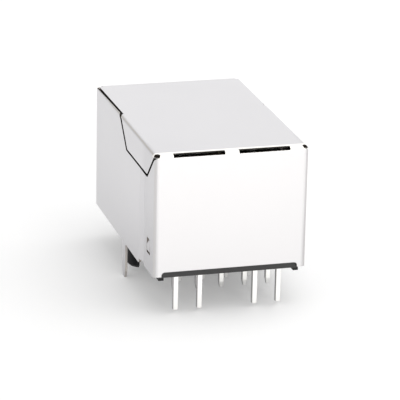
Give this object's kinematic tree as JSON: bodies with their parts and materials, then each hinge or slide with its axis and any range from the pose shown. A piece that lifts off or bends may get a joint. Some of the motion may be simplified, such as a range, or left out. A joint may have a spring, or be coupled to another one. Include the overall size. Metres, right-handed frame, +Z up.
{
  "type": "ethernet jack",
  "caption": "Board-mounted, shielded modular jack with plug cavity, spring contacts, built-in coils, indicator lamps, solder pins and locating pegs.",
  "frame": {"origin": "on the surface of the circuit board that carries the jack, under the middle of the shield's width and length", "axes": "+Z up from the board, -Y out of the plug opening, +Y towards the rear wall, X across"},
  "size_m": [0.0162, 0.0254, 0.0173],
  "materials": {
    "plated_sheet": "bright nickel plate on thin sheet",
    "black_moulding": "moulded, fine matt",
    "gold_plate": "gold flash over nickel",
    "tinned_wire": "bright tin",
    "lens_green": "tinted, diffused",
    "lens_yellow": "tinted, diffused",
    "board_laminate": "solder mask on glass laminate",
    "ferrite": "sintered, dull",
    "enamelled_wire": "enamelled copper",
    "resistor_body": "glazed top, tinned ends",
    "capacitor_body": "fired ceramic, tinned ends"
  },
  "bodies": {
    "root": {"shield": "plated_sheet", "housing": "black_moulding", "contact_insert": "black_moulding", "terminal_base": "black_moulding", "inner_board": "board_laminate", "lamp_left": "lens_green", "lamp_right": "lens_yellow", "capacitor": "capacitor_body", "contact_1": "gold_plate", "contact_2": "gold_plate", "contact_3": "gold_plate", "contact_4": "gold_plate", "contact_5": "gold_plate", "contact_6": "gold_plate", "contact_7": "gold_plate", "contact_8": "gold_plate", "signal_pin_1": "tinned_wire", "signal_pin_2": "tinned_wire", "signal_pin_3": "tinned_wire", "signal_pin_4": "tinned_wire", "signal_pin_5": "tinned_wire", "signal_pin_6": "tinned_wire", "signal_pin_7": "tinned_wire", "signal_pin_8": "tinned_wire", "signal_pin_9": "tinned_wire", "lamp_lead_1": "tinned_wire", "lamp_lead_2": "tinned_wire", "lamp_lead_3": "tinned_wire", "lamp_lead_4": "tinned_wire", "transformer_core_1": "ferrite", "transformer_core_2": "ferrite", "transformer_core_3": "ferrite", "transformer_core_4": "ferrite", "choke_core_1": "ferrite", "choke_core_2": "ferrite", "choke_core_3": "ferrite", "choke_core_4": "ferrite", "transformer_winding_1": "enamelled_wire", "transformer_winding_2": "enamelled_wire", "transformer_winding_3": "enamelled_wire", "transformer_winding_4": "enamelled_wire", "choke_winding_1": "enamelled_wire", "choke_winding_2": "enamelled_wire", "choke_winding_3": "enamelled_wire", "choke_winding_4": "enamelled_wire", "resistor_1": "resistor_body", "resistor_2": "resistor_body", "resistor_3": "resistor_body", "resistor_4": "resistor_body"}
  },
  "joints": []
}
